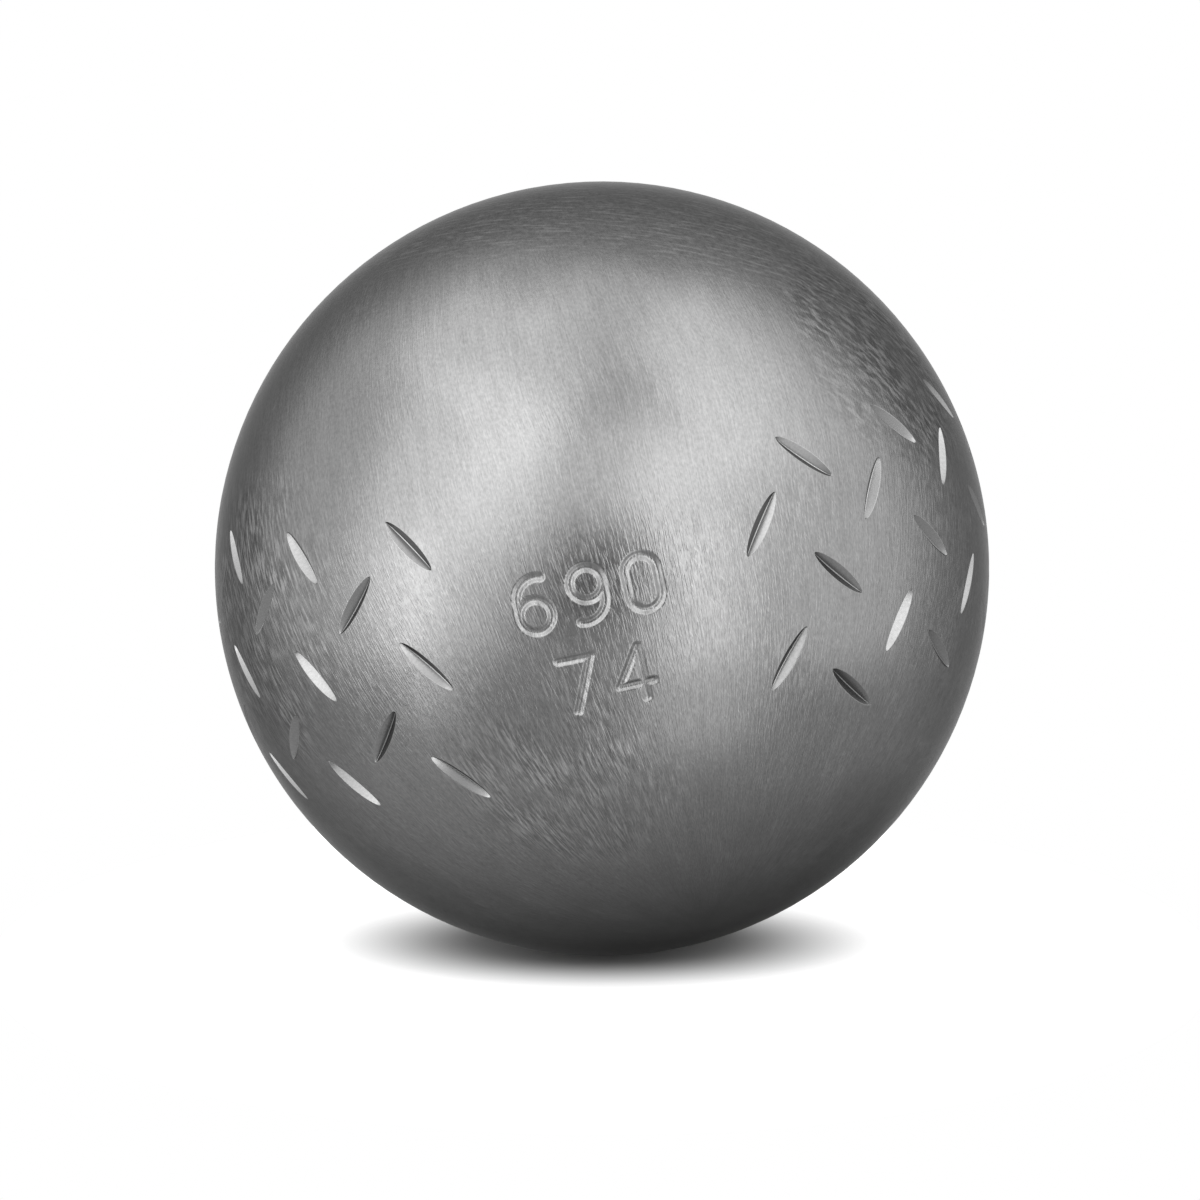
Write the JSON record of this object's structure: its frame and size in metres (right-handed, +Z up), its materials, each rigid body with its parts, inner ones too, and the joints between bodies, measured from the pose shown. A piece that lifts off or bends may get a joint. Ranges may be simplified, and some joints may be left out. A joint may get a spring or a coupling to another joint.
{
  "type": "petanque boule",
  "caption": "Hollow steel throwing ball welded from two half shells, satin finished, with a belt of milled grip flutes and a bare gap for a marking.",
  "frame": {"origin": "centre of the ball", "axes": "+Z up as the ball lies in the picture, -Y towards the viewer, +X to the viewer's right; the axis of the flute belt and of the weld leans 12.2 degrees from +Z towards -X"},
  "size_m": [0.074, 0.074, 0.074],
  "materials": {
    "shell_steel": "satin brushed carbon steel",
    "weld_steel": "satin brushed weld metal, turned flush with the shells"
  },
  "bodies": {
    "root": {"upper_half_shell": "shell_steel", "lower_half_shell": "shell_steel", "weld_seam": "weld_steel"}
  },
  "joints": []
}
